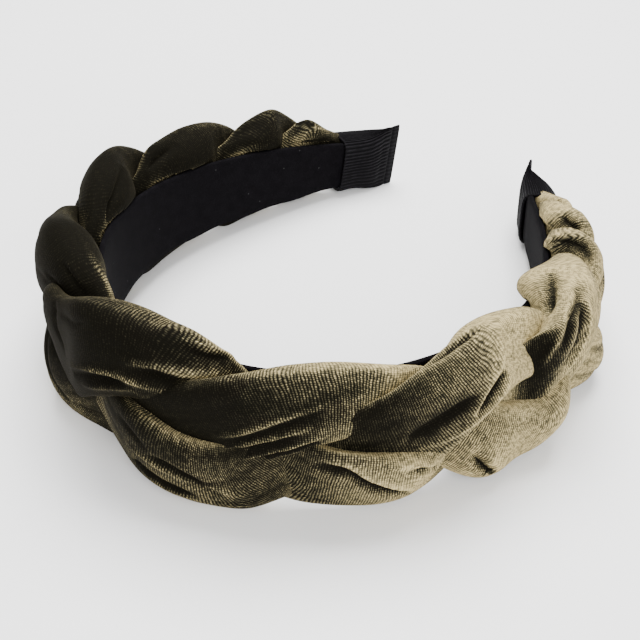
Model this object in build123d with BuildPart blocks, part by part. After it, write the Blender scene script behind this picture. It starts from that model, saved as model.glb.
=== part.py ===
"""Braided velvet headband, lying on its lower edge with the front towards -Y.

A hard band faced with black cloth runs from tip to tip. Three padded velvet strands are plaited along
its outer side and stand proud of both edges. A ribbed ribbon sleeve closes each tip and takes in the
ends of the band and of the strands.
"""
from build123d import *

import math
import os

os.makedirs("parts", exist_ok=True)

# Driving sizes, in millimetres
HEAD_WIDTH = 114.9
HEAD_DEPTH = 151.5
BAND_WIDTH = 28.8
BAND_THICKNESS = 2.6
FRONT_LIFT = 10.0
TIP_LIFT = 2.6
BRAID_THICKNESS = 18.5
BRAID_OVERHANG = 12.0
STRAND_GAP = 0.4
STRAND_SLACK = 0.3
TIP_LENGTH = 19.0
TIP_WALL = 0.9
TIP_CLEARANCE = 0.4
TIP_CORNER = 1.2
SEAM_WIDTH = 22.6
SEAM_THICKNESS = 2.0
STRAND_TUCK = 6.0
BAND_TUCK = 8.0

# The lining's plan: share of half the head's width, share of its depth from the front
PLAN = [
    (0.000, 0.000),
    (0.647, 0.091),
    (0.972, 0.302),
    (1.000, 0.515),
    (0.839, 0.699),
    (0.576, 0.893),
    (0.391, 1.000),
]

# The band's taper: share of the depth from the front, share of the band's width
TAPER = [
    (0.000, 1.000),
    (0.160, 1.000),
    (0.450, 0.894),
    (0.700, 0.764),
    (0.930, 0.530),
    (1.000, 0.440),
]

# The braid's envelope: place as a share of the reach to the sleeves, overhang above the band and
# below it as shares of the braid's overhang, depth as a share of the braid's thickness
ENVELOPE = [
    (-1.060, 0.00, 0.00, 0.16),
    (-0.990, 0.00, 0.00, 0.34),
    (-0.920, 0.38, 0.25, 0.65),
    (-0.807, 0.50, 0.38, 0.76),
    (-0.663, 0.58, 0.46, 0.89),
    (-0.490, 0.67, 0.62, 0.97),
    (-0.317, 0.75, 0.75, 1.00),
    (-0.144, 0.92, 0.86, 0.92),
    (-0.029, 0.96, 0.86, 0.86),
    (0.058, 0.67, 0.82, 0.78),
    (0.173, 0.62, 0.72, 0.70),
    (0.277, 0.71, 0.54, 0.68),
    (0.375, 1.00, 0.50, 0.73),
    (0.507, 0.75, 0.50, 0.92),
    (0.663, 0.62, 0.46, 0.92),
    (0.807, 0.50, 0.38, 0.81),
    (0.920, 0.38, 0.25, 0.65),
    (0.990, 0.00, 0.00, 0.34),
    (1.060, 0.00, 0.00, 0.16),
]

# Where one upper lobe meets the next, as shares of the reach to the sleeves
LOBE_ENDS = [-1.193, -1.061, -0.928, -0.795, -0.605, -0.415, -0.207, 0.029,
             0.265, 0.484, 0.692, 0.795, 0.939, 1.095, 1.250]
LOBE_END_PHASE = 68.0
MIDDLE_LOBE_END = 7

# One strand's oval through a turn of the plait: phase in degrees, centre across and half-width as
# shares of the braid's half-width, height and half-depth as shares of its depth, tilt in degrees
STRAND_TURN = [
    (0, -0.28, 0.15, 0.35, 0.13, 8),
    (30, -0.05, 0.46, 0.48, 0.17, 24),
    (60, 0.05, 0.70, 0.69, 0.20, 6),
    (90, 0.31, 0.77, 0.61, 0.22, -4),
    (120, 0.54, 0.61, 0.46, 0.35, 0),
    (150, 0.66, 0.36, 0.35, 0.30, 10),
    (180, 0.42, 0.26, 0.48, 0.20, 4),
    (210, -0.26, 0.36, 0.63, 0.14, -6),
    (240, -0.52, 0.56, 0.46, 0.28, -8),
    (270, -0.70, 0.66, 0.31, 0.31, 10),
    (300, -0.84, 0.40, 0.15, 0.33, 0),
    (315, -0.75, 0.17, 0.21, 0.16, 0),
    (330, -0.52, 0.10, 0.36, 0.09, 0),
]
STRANDS = 3
OVAL_POINTS = 8

# A ribbon sleeve: share of its length from the neck, and the way it has gone by then from its neck to
# its seam in width and in thickness
SLEEVE = [
    (0.00, 0.00, 0.00),
    (0.45, 0.50, 0.33),
    (0.85, 1.00, 0.74),
    (1.00, 1.00, 1.00),
]


def between(table, place, column):
    """Read a column of a table at a place in its first column, in straight lines between rows."""
    for low, high in zip(table, table[1:]):
        if place <= high[0]:
            share = max(0.0, (place - low[0]) / (high[0] - low[0]))
            return low[column] + share * (high[column] - low[column])
    return table[-1][column]


# The lining's line in plan, from the left tip round the front to the right tip
right_side = [(across * HEAD_WIDTH / 2, back * HEAD_DEPTH) for across, back in PLAN]
left_side = [(-across, back) for across, back in reversed(right_side[1:])]
with BuildLine() as lining:
    Spline(*left_side, *right_side)
lining_line = lining.edges()[0]
HALF_LENGTH = lining_line.length / 2
REACH = HALF_LENGTH - TIP_LENGTH


def point_at(distance):
    """The lining's point at a distance from the middle of the front, to the right if positive."""
    return lining_line.position_at(HALF_LENGTH + distance, PositionMode.LENGTH)


def along_at(distance):
    """The lining's direction at that point, from the left tip to the right one."""
    return lining_line.tangent_at(HALF_LENGTH + distance, PositionMode.LENGTH)


def lower_edge(back):
    """Height of the band's lower edge above the table at a distance behind the front."""
    return FRONT_LIFT + (TIP_LIFT - FRONT_LIFT) * back / HEAD_DEPTH


def band_width(back):
    """Width of the band at a distance behind the front."""
    return BAND_WIDTH * between(TAPER, back / HEAD_DEPTH, 1)


def cross_plane(distance, height):
    """Plane square to the band: X is up, Y is outwards from the lining."""
    point = point_at(distance)
    return Plane(origin=(point.X, point.Y, height), x_dir=(0, 0, 1), z_dir=along_at(distance))


def outward_at(distance, depth):
    """A plan point that lies outside the lining by a depth."""
    point, along = point_at(distance), along_at(distance)
    return (point.X + along.Y * depth, point.Y - along.X * depth)


# Hard band faced with black cloth
BAND_REACH = REACH + BAND_TUCK
BAND_STATIONS = [BAND_REACH * step / 12 for step in range(-12, 13)]
with BuildPart() as lined_band:
    with BuildSketch(Plane.XY):
        with BuildLine():
            inner = Spline(*[outward_at(place, 0) for place in BAND_STATIONS])
            outer = Spline(*[outward_at(place, BAND_THICKNESS) for place in BAND_STATIONS])
            Line(inner @ 0, outer @ 0)
            Line(inner @ 1, outer @ 1)
        make_face()
    extrude(amount=FRONT_LIFT + 2 * BAND_WIDTH)
    with BuildSketch(Plane.YZ):
        with BuildLine():
            top_points = [(back * HEAD_DEPTH, lower_edge(back * HEAD_DEPTH) + share * BAND_WIDTH)
                          for back, share in TAPER]
            front, rear = -BAND_WIDTH, HEAD_DEPTH + BAND_WIDTH
            top = Spline(*top_points)
            Polyline(top @ 0, (front, top_points[0][1]), (front, lower_edge(front)),
                     (rear, lower_edge(rear)), (rear, top_points[-1][1]), top @ 1)
        make_face()
    extrude(amount=HEAD_WIDTH, both=True, mode=Mode.INTERSECT)
lined_band.part.label = "lined_band"


def lobe_place(turn_phase):
    """Place along the band, in millimetres, where the plait reaches a phase in degrees."""
    lobe = (turn_phase - LOBE_END_PHASE) / 360 * STRANDS + MIDDLE_LOBE_END
    rows = list(enumerate(LOBE_ENDS))
    if lobe < 0 or lobe > len(LOBE_ENDS) - 1:
        return math.copysign(math.inf, lobe)
    return REACH * between(rows, lobe, 1)


def strand_section(distance, row):
    """Plane and closed oval of one strand where it crosses a plane square to the band."""
    _, centre, height, half_width, half_depth, tilt = row
    back = point_at(distance).Y
    above = BRAID_OVERHANG * between(ENVELOPE, distance / REACH, 1)
    below = BRAID_OVERHANG * between(ENVELOPE, distance / REACH, 2)
    depth = BRAID_THICKNESS * between(ENVELOPE, distance / REACH, 3)
    half = (band_width(back) + above + below) / 2
    middle = lower_edge(back) + (band_width(back) + above - below) / 2
    base = BAND_THICKNESS + STRAND_GAP
    turn = math.radians(tilt)
    points = []
    for step in range(OVAL_POINTS):
        angle = 2 * math.pi * step / OVAL_POINTS
        wide = (half_width * half - STRAND_SLACK) * math.cos(angle)
        deep = (half_depth * depth - STRAND_SLACK) * math.sin(angle)
        points.append((centre * half + wide * math.cos(turn) - deep * math.sin(turn),
                       base + height * depth + wide * math.sin(turn) + deep * math.cos(turn)))
    return cross_plane(distance, middle), points


def strand_stations(strand):
    """Places and oval rows of one strand, from the left sleeve to the right one."""
    stations = []
    for turn in range(-3, 4):
        for row in STRAND_TURN:
            place = lobe_place(row[0] + 360 * turn + 360 * strand / STRANDS)
            if abs(place) <= REACH + STRAND_TUCK:
                stations.append((place, row))
    return stations


# Three padded velvet strands, flattened where they rest on the table
strands = []
for strand in range(STRANDS):
    with BuildPart() as velvet_strand:
        for place, row in strand_stations(strand):
            plane, points = strand_section(place, row)
            with BuildSketch(plane):
                with BuildLine():
                    Spline(*points[:OVAL_POINTS // 2 + 1])
                    Spline(*points[OVAL_POINTS // 2:], points[0])
                make_face()
        loft(ruled=True)
        split(bisect_by=Plane.XY, keep=Keep.TOP)
    velvet_strand.part.label = f"strand_{strand + 1}"
    strands.append(velvet_strand)


def sleeve_rows():
    """Outside of a ribbon sleeve, from its open neck to its flat seam.

    Each row has the share of the sleeve's length, the width, the thickness and the foot's height.
    """
    neck = point_at(REACH).Y
    around = 2 * (TIP_CLEARANCE + TIP_WALL)
    neck_width = band_width(neck) + around
    neck_thickness = BAND_THICKNESS + STRAND_GAP + BRAID_THICKNESS * between(ENVELOPE, 0.99, 3) + around
    neck_foot = lower_edge(neck) - TIP_CLEARANCE - TIP_WALL
    rows = []
    for share, widening, flattening in SLEEVE:
        rows.append((share,
                     neck_width + widening * (SEAM_WIDTH - neck_width),
                     neck_thickness + flattening * (SEAM_THICKNESS - neck_thickness),
                     neck_foot * (1 - widening)))
    return rows


def sleeve_plane(side, share, foot, width):
    """Plane of a sleeve's section, with its middle half way up the section."""
    return cross_plane(side * (REACH + share * TIP_LENGTH), foot + width / 2)


def ribbon_sleeve(side, name):
    """A ribbon sleeve over one tip: open at its neck, pressed flat and sewn at its end."""
    rows = sleeve_rows()
    inner_face = -TIP_CLEARANCE - TIP_WALL
    mouth = (-TIP_WALL / TIP_LENGTH, *rows[0][1:])
    with BuildPart() as sleeve:
        for share, width, thickness, foot in rows:
            with BuildSketch(sleeve_plane(side, share, foot, width)):
                with Locations((0, inner_face + thickness / 2)):
                    RectangleRounded(width, thickness, min(TIP_CORNER, 0.45 * thickness))
        loft()
        for share, width, thickness, foot in [mouth, *rows[:-1]]:
            with BuildSketch(sleeve_plane(side, share, foot, width)):
                with Locations((0, inner_face + thickness / 2)):
                    hollow = thickness - 2 * TIP_WALL
                    RectangleRounded(width - 2 * TIP_WALL, hollow, min(TIP_CORNER, 0.9 * hollow) / 2)
        loft(mode=Mode.SUBTRACT)
        split(bisect_by=Plane.XY, keep=Keep.TOP)
    sleeve.part.label = name
    return sleeve


ribbon_tip_left = ribbon_sleeve(-1, "ribbon_tip_left")
ribbon_tip_right = ribbon_sleeve(1, "ribbon_tip_right")

# The origin is under the middle of the whole headband, on the table
pieces = [lined_band, *strands, ribbon_tip_left, ribbon_tip_right]
footprint = Compound([piece.part for piece in pieces]).bounding_box()
centred = Location((-footprint.center().X, -footprint.center().Y, 0))
for piece in pieces:
    placed = piece.part.moved(centred)
    placed.label = piece.part.label
    export_step(placed, f"parts/{placed.label}.step")
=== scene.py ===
"""Braided velvet headband: the looks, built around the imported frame.

The hard band is dressed in black cloth, three padded velvet strands are plaited along its outer side, and
a ribbed ribbon sleeve closes each tip. Lengths in this file are millimetres until a mesh is written.
"""
from __future__ import annotations

import logging
import math
from dataclasses import dataclass
from enum import Enum

import bmesh
import bpy
import numpy as np
from mathutils import Matrix, Vector

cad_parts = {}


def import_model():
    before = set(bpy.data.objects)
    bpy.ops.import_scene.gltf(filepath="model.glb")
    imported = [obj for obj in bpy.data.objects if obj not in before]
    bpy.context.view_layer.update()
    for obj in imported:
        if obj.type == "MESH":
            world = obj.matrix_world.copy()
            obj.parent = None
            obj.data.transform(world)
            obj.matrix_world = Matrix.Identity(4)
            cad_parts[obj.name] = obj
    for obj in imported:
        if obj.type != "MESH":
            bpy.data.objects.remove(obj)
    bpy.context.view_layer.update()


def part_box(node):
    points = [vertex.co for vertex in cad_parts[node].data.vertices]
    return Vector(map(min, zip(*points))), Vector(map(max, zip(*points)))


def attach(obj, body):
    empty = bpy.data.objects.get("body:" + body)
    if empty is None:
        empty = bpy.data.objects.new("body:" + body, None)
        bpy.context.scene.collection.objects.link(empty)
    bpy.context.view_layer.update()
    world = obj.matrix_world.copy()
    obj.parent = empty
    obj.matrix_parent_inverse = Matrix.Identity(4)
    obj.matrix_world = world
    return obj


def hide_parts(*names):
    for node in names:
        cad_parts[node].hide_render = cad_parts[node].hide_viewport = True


MM = 0.001
LOG = logging.getLogger("headband")
Array = np.ndarray
Node = bpy.types.Node
Socket = bpy.types.NodeSocket


class Side(Enum):
    """The two tips of the band, by the way that the band runs towards them."""

    LEFT = -1
    RIGHT = 1

    @property
    def label(self) -> str:
        """The side's word in names."""
        return self.name.lower()


def column(table: tuple, index: int) -> Array:
    """One column of a table as an array."""
    return np.array([row[index] for row in table], float)


def lengths(points: Array) -> Array:
    """How far a line of points has run at each of them."""
    return np.concatenate([[0], np.cumsum(np.linalg.norm(np.diff(points, axis=0), axis=1))])


def bend(here: Array, there: Array, start: Array, end: Array, share: Array) -> Array:
    """A cubic from one value to the next, leaving and arriving at given slopes."""
    swing = start * share * (1 - share) ** 2 - end * share**2 * (1 - share)
    return here + (there - here) * share**2 * (3 - 2 * share) + swing


def flowing(knots: Array, values: Array, places: Array) -> Array:
    """Read a smooth line through knots that never swings past its neighbours.

    Args:
        knots: Rising places of the known values.
        values: The known values.
        places: Places to read, held to the knots' range.

    Returns:
        The values at the places.
    """
    gaps = np.diff(knots)
    slopes = np.diff(values) / gaps
    tangents = np.zeros_like(values)
    same_way = slopes[:-1] * slopes[1:] > 0
    weights = (2 * gaps[1:] + gaps[:-1], gaps[1:] + 2 * gaps[:-1])
    first, second = np.where(same_way, slopes[:-1], 1.0), np.where(same_way, slopes[1:], 1.0)
    mean = (weights[0] + weights[1]) / (weights[0] / first + weights[1] / second)
    tangents[1:-1] = np.where(same_way, mean, 0.0)
    tangents[0], tangents[-1] = slopes[0], slopes[-1]
    places = np.clip(places, knots[0], knots[-1])
    low = np.clip(np.searchsorted(knots, places, side="right") - 1, 0, len(gaps) - 1)
    share = (places - knots[low]) / gaps[low]
    start, end = tangents[low] * gaps[low], tangents[low + 1] * gaps[low]
    return bend(values[low], values[low + 1], start, end, share)


def read(table: tuple, index: int, places: Array) -> Array:
    """Read one column of a table at places that its first column counts in."""
    return flowing(column(table, 0), column(table, index), places)


def turning(step: float, values: Array, phases: Array) -> Array:
    """Read a smooth closed line through values that stand a fixed step apart round a full turn."""
    count = len(values)
    spot = np.mod(phases / step, count)
    low = np.floor(spot).astype(int) % count
    share = spot - np.floor(spot)
    before, here, after, beyond = (values[(low + shift) % count] for shift in (-1, 0, 1, 2))
    return bend(here, after, (after - before) / 2, (beyond - here) / 2, share)


@dataclass
class Station:
    """What the band is like at a run of places along it."""

    middle: Array
    outward: Array
    foot: Array
    width: Array

    def ahead(self) -> Array:
        """The band's own direction at each station, level and towards the right tip."""
        level = np.zeros((len(self.outward), 1))
        return np.concatenate([-self.outward[:, 1:], self.outward[:, :1], level], axis=1)

    def place(self, height: Array, depth: Array) -> Array:
        """Put section coordinates in space.

        Args:
            height: Heights above the table, one row for each station.
            depth: Depths outside the lining, one row for each station.

        Returns:
            Points, one row for each station.
        """
        plan = self.middle[:, None, :] + self.outward[:, None, :] * depth[..., None]
        return np.concatenate([plan, height[..., None]], axis=-1)


@dataclass
class BandLine:
    """The lining's line in plan, its lower edge and its width, all by distance from the front's middle."""

    head_width: float = 114.9
    head_depth: float = 151.5
    width: float = 28.8
    thickness: float = 2.6
    front_lift: float = 10.0
    tip_lift: float = 2.6
    tip_length: float = 19.0
    # Share of half the head's width, share of its depth from the front
    plan: tuple = (
        (0.000, 0.000), (0.647, 0.091), (0.972, 0.302), (1.000, 0.515),
        (0.839, 0.699), (0.576, 0.893), (0.391, 1.000))
    # Share of the depth from the front, share of the band's width
    taper: tuple = (
        (0.00, 1.000), (0.16, 1.000), (0.45, 0.894), (0.70, 0.764), (0.93, 0.530), (1.00, 0.440))
    # Distance from the front's middle, how far further out the cloth stands there than the bare band
    sway: tuple = ((165, 0.0), (174, 0.6), (184, 2.4), (195, 4.2))
    steps: int = 2400

    def __post_init__(self) -> None:
        """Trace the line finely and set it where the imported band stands."""
        low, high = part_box("lined_band")
        front = low.y / MM + self.thickness
        middle = (low.x + high.x) / 2 / MM
        right = np.array(self.plan) * (self.head_width / 2, self.head_depth)
        left = right[:0:-1] * (-1, 1)
        knots = np.concatenate([left, right])
        chord = lengths(knots)
        fine = np.linspace(0, chord[-1], self.steps)
        line = np.stack([self._through(chord, knots[:, axis], fine) for axis in (0, 1)], axis=-1)
        self.back = line[:, 1].copy()
        run = lengths(line)
        self.run = run - run[-1] / 2
        shift = read(self.sway, 1, self.run)
        line = line + self._outward(line) * shift[:, None]
        self.line = line + (middle, front)
        self.normal = self._outward(line)
        self.half_length = run[-1] / 2
        self.reach = self.half_length - self.tip_length

    @staticmethod
    def _outward(line: Array) -> Array:
        """Unit vectors square to the line, away from the head."""
        along = np.gradient(line, axis=0)
        along /= np.linalg.norm(along, axis=1)[:, None]
        return np.stack([along[:, 1], -along[:, 0]], axis=-1)

    @staticmethod
    def _through(knots: Array, values: Array, places: Array) -> Array:
        """Natural cubic line through the knots.

        Args:
            knots: Rising places of the known values.
            values: The known values.
            places: Places to read.

        Returns:
            The values at the places.
        """
        gaps = np.diff(knots)
        slopes = np.diff(values) / gaps
        count = len(knots)
        matrix = np.eye(count)
        pull = np.zeros(count)
        for row in range(1, count - 1):
            matrix[row, row - 1:row + 2] = gaps[row - 1], 2 * (gaps[row - 1] + gaps[row]), gaps[row]
            pull[row] = 6 * (slopes[row] - slopes[row - 1])
        curve = np.linalg.solve(matrix, pull)
        low = np.clip(np.searchsorted(knots, places, side="right") - 1, 0, count - 2)
        gap, before, after = gaps[low], places - knots[low], knots[low + 1] - places
        bent = (curve[low] * after**3 + curve[low + 1] * before**3) / (6 * gap)
        return (bent + (values[low] / gap - curve[low] * gap / 6) * after
                + (values[low + 1] / gap - curve[low + 1] * gap / 6) * before)

    def at(self, distance: Array) -> Station:
        """The band at distances from the middle of the front, to the right if positive.

        Args:
            distance: Distances along the lining.

        Returns:
            The station, with one entry for each distance.
        """
        back = np.interp(distance, self.run, self.back)
        middle, outward = (np.stack([np.interp(distance, self.run, row) for row in values.T], axis=-1)
                           for values in (self.line, self.normal))
        foot = self.front_lift + (self.tip_lift - self.front_lift) * back / self.head_depth
        width = self.width * read(self.taper, 1, back / self.head_depth)
        return Station(middle, outward, foot, width)


def wrapped_mesh(name: str, points: Array, chart: Array, marks: dict[str, Array] | None = None,
                 closed_ends: bool = True) -> bpy.types.Object:
    """Wrap a grid round into a tube through the points.

    Args:
        name: The piece's name.
        points: Points in millimetres, one row for each section, its first point not repeated.
        chart: The surface's own coordinates in millimetres, with one more column than the points.
        marks: Numbers or vectors kept for each point, by the name of their attribute.
        closed_ends: Whether both ends are capped.

    Returns:
        The new object, at the origin.
    """
    rows, around = points.shape[:2]
    mesh = bpy.data.meshes.new(name)
    shell = bmesh.new()
    shell.loops.layers.uv.new("UVMap")
    bmesh.ops.create_grid(shell, x_segments=around, y_segments=rows - 1, size=1.0)
    shell.to_mesh(mesh)
    count = len(mesh.vertices)
    flat = np.empty(count * 3)
    mesh.vertices.foreach_get("co", flat)
    spots = flat.reshape(-1, 3)
    across = np.rint((spots[:, 0] + 1) / 2 * around).astype(int)
    along = np.rint((spots[:, 1] + 1) / 2 * (rows - 1)).astype(int)
    mesh.vertices.foreach_set("co", (points[along, across % around] * MM).ravel())
    for mark, values in (marks or {}).items():
        kind, slot = ("FLOAT_VECTOR", "vector") if values.ndim == 3 else ("FLOAT", "value")
        layer = mesh.attributes.new(mark, kind, "POINT")
        layer.data.foreach_set(slot, values[along, across % around].ravel())
    corners = np.empty(len(mesh.loops), int)
    mesh.loops.foreach_get("vertex_index", corners)
    mesh.uv_layers[0].data.foreach_set("uv", chart[along[corners], across[corners]].ravel())
    shell.free()
    shell = bmesh.new()
    shell.from_mesh(mesh)
    bmesh.ops.remove_doubles(shell, verts=shell.verts, dist=1e-7)
    if closed_ends:
        bmesh.ops.holes_fill(shell, edges=shell.edges, sides=0)
    bmesh.ops.recalc_face_normals(shell, faces=shell.faces)
    for face in shell.faces:
        face.smooth = True
    shell.to_mesh(mesh)
    shell.free()
    piece = bpy.data.objects.new(name, mesh)
    bpy.context.scene.collection.objects.link(piece)
    return piece


@dataclass(frozen=True)
class Spot:
    """A soft-edged spot on a strand, by its place, its angle and how far it reaches both ways."""

    strand: int
    place: float
    reach: float
    angle: float
    spread: float

    def weight(self, distance: Array, degrees: Array) -> Array:
        """How much of the spot each point has, from 0 to 1.

        Args:
            distance: Distances along the band.
            degrees: Angles round the section.

        Returns:
            One row of weights for each distance.
        """
        along = np.exp(-(((distance - self.place) / self.reach) ** 2))[:, None]
        turned = (degrees - self.angle + 180) % 360 - 180
        return along * np.exp(-((turned / self.spread) ** 2))


@dataclass(frozen=True)
class Swell(Spot):
    """A spot where the cloth is pushed along the band, away from the head or up."""

    ahead: float = 0.0
    out: float = 0.0
    up: float = 0.0

    def push(self, points: Array, distance: Array, degrees: Array, station: Station) -> Array:
        """Move the points near the spot.

        Args:
            points: The strand's points, one row for each distance.
            distance: Distances along the band.
            degrees: Angles round the section.
            station: The band at those distances.

        Returns:
            The moved points.
        """
        outward = np.concatenate([station.outward, np.zeros((len(distance), 1))], axis=1)
        way = station.ahead() * self.ahead + outward * self.out + np.array((0.0, 0.0, self.up))
        return points + self.weight(distance, degrees)[..., None] * way[:, None, :]


@dataclass(frozen=True)
class Brush(Spot):
    """A spot of painted shade, where the tone is made darker, or of painted light, where it is made lighter.
    """

    tone: float = 0.0


@dataclass(frozen=True)
class Fold:
    """A crease if its height is negative, or a ridge, along a route of places and angles on a strand."""

    strand: int
    route: tuple
    width: float
    height: float
    steps: int = 60
    # Share of the route over which each end fades, how it fades, and how sharp the fold's foot is
    fading: float = 0.3
    fade_power: float = 0.8
    foot_power: float = 1.4
    # How many widths away from the route the cloth still moves
    span: float = 4.0

    def lift(self, points: Array, distance: Array, degrees: Array) -> Array:
        """How far each point moves out of the cloth.

        Args:
            points: The strand's points, one row for each distance, the first column repeated at the end.
            distance: Distances along the band.
            degrees: The columns' angles, rising through one turn from minus 90.

        Returns:
            Heights in millimetres.
        """
        knots = np.arange(len(self.route), dtype=float)
        share = np.linspace(0, 1, self.steps)
        place = flowing(knots, np.array([stop[0] for stop in self.route], float), share * knots[-1])
        turned = flowing(knots, np.unwrap([stop[1] for stop in self.route], period=360), share * knots[-1])
        row = np.interp(place, distance, np.arange(len(distance)))
        spot = np.interp((turned + 90) % 360 - 90, degrees, np.arange(len(degrees)))
        low = np.minimum(row.astype(int), len(distance) - 2)
        left = np.minimum(spot.astype(int), len(degrees) - 2)
        down, right = (row - low)[:, None], (spot - left)[:, None]
        path = ((points[low, left] * (1 - right) + points[low, left + 1] * right) * (1 - down)
                + (points[low + 1, left] * (1 - right) + points[low + 1, left + 1] * right) * down)
        near = np.abs(distance - np.clip(distance, place.min(), place.max())) < self.span * self.width
        patch = points[near]
        gap = np.full(patch.shape[:2], 1e6)
        fade = np.zeros(patch.shape[:2])
        ends = np.clip(np.minimum(share, 1 - share) / self.fading, 0, 1) ** self.fade_power
        for spot_at, end in zip(path, ends):
            away = np.linalg.norm(patch - spot_at, axis=-1)
            closer = away < gap
            gap = np.where(closer, away, gap)
            fade = np.where(closer, end, fade)
        lift = np.zeros(points.shape[:2])
        lift[near] = self.height * fade * np.exp(-((gap / self.width) ** self.foot_power))
        return lift


# Where lobes are pushed in, out, up or along, so that the outline and the overlaps fit: strand, place,
# reach, angle, spread and the push
SWELLS = (
    # Left arm
    Swell(2, -156, 6, 350, 45, up=1.3), Swell(2, -145, 8, 357, 45, up=-2.2),
    Swell(3, -122, 7, 345, 45, up=-1.0), Swell(3, -106, 6, 20, 50, up=2.0),
    Swell(1, -102, 9, 350, 50, up=2.2), Swell(2, -69, 8, 0, 50, out=-1.0, up=-2.5),
    Swell(2, -54, 10, 60, 50, out=1.5), Swell(1, -50, 10, 100, 60, out=1.0),
    # Front
    Swell(3, -33, 7, 355, 60, out=-1.0, up=-3.0), Swell(3, -30, 7, 80, 70, out=-2.5),
    Swell(1, -30, 10, 110, 60, out=-3.6), Swell(2, -8, 14, 120, 60, out=-1.2),
    Swell(3, -6, 8, 355, 40, up=-2.4), Swell(2, -5, 9, 20, 50, out=3.0, up=6.5),
    Swell(1, 0, 7, 10, 55, out=-1.5, up=-4.5), Swell(3, 1, 8, 75, 45, out=2.0, up=-1.0),
    Swell(3, 3, 12, 0, 45, up=2.4), Swell(1, 7, 8, 105, 50, out=-2.5),
    Swell(2, 8, 8, 25, 50, out=2.5, up=2.0), Swell(2, 16, 7, 70, 60, out=1.6),
    Swell(1, 17, 7, 150, 40, out=-2.0), Swell(2, 17, 10, 140, 45, out=1.6, up=-1.4),
    Swell(3, 36, 14, 116, 60, out=-2.0, up=1.0), Swell(3, 36, 10, 30, 40, out=3.0, up=5.5),
    Swell(3, 47, 8, 68, 40, ahead=4.0, out=3.0, up=1.5),
    Swell(2, 50, 7, 345, 40, ahead=-2.0, up=2.0), Swell(1, 65, 9, 130, 50, out=4.0, up=-1.5),
    Swell(1, 74, 6, 95, 45, out=-2.0, up=2.0), Swell(2, 76, 7, 70, 60, ahead=-5.0, out=-1.5),
    # Right arm
    Swell(3, 77, 5, 45, 55, out=-5.0), Swell(1, 87, 8, 65, 45, out=3.4),
    Swell(3, 89, 7, 112, 50, out=-3.0), Swell(3, 103, 9, 300, 55, out=-5.0),
    Swell(2, 107, 12, 100, 60, out=2.0), Swell(1, 122, 12, 30, 50, out=-1.5))

# Spots of painted light and painted shade, where the tone is made lighter or darker: strand, place, reach,
# angle, spread and tone
PAINTED_LIGHT_SPOTS = (
    # Left arm
    Brush(1, -163, 10, 310, 60, 0.26), Brush(1, -157, 12, 285, 20, 0.16), Brush(2, -135, 12, 300, 14, 0.24),
    Brush(3, -119, 10, 330, 40, -0.08), Brush(3, -115, 16, 283, 14, 0.30), Brush(1, -84, 12, 325, 50, -0.18),
    Brush(1, -82, 14, 0, 60, -0.14), Brush(1, -80, 12, 310, 12, 0.16), Brush(2, -52, 12, 0, 50, -0.22),
    Brush(2, -48, 14, 30, 70, -0.15), Brush(1, -42, 18, 80, 40, 0.10), Brush(2, -41, 16, 342, 10, 0.22),
    # Front
    Brush(1, -38, 16, 128, 60, 0.30), Brush(3, -24, 14, 50, 60, -0.04), Brush(2, -9, 8, 60, 50, 0.08),
    Brush(2, -2, 7, 50, 30, -0.06), Brush(3, 6, 10, 15, 50, -0.06), Brush(2, 6, 18, 100, 60, 0.24),
    Brush(2, 6, 16, 12, 20, 0.30), Brush(1, 26, 14, 5, 40, 0.08), Brush(1, 30, 14, 65, 60, 0.06),
    Brush(3, 34, 9, 40, 60, 0.14), Brush(2, 42, 8, 60, 80, -0.12), Brush(3, 48, 10, 90, 60, 0.16),
    Brush(1, 62, 7, 127, 50, 0.10),
    # Right arm
    Brush(3, 80, 7, 66, 60, -0.34), Brush(3, 92, 9, 45, 60, -0.08), Brush(3, 98, 8, 310, 40, 0.08),
    Brush(1, 128, 8, 330, 50, -0.12), Brush(2, 140, 8, 330, 50, -0.12))

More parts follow.
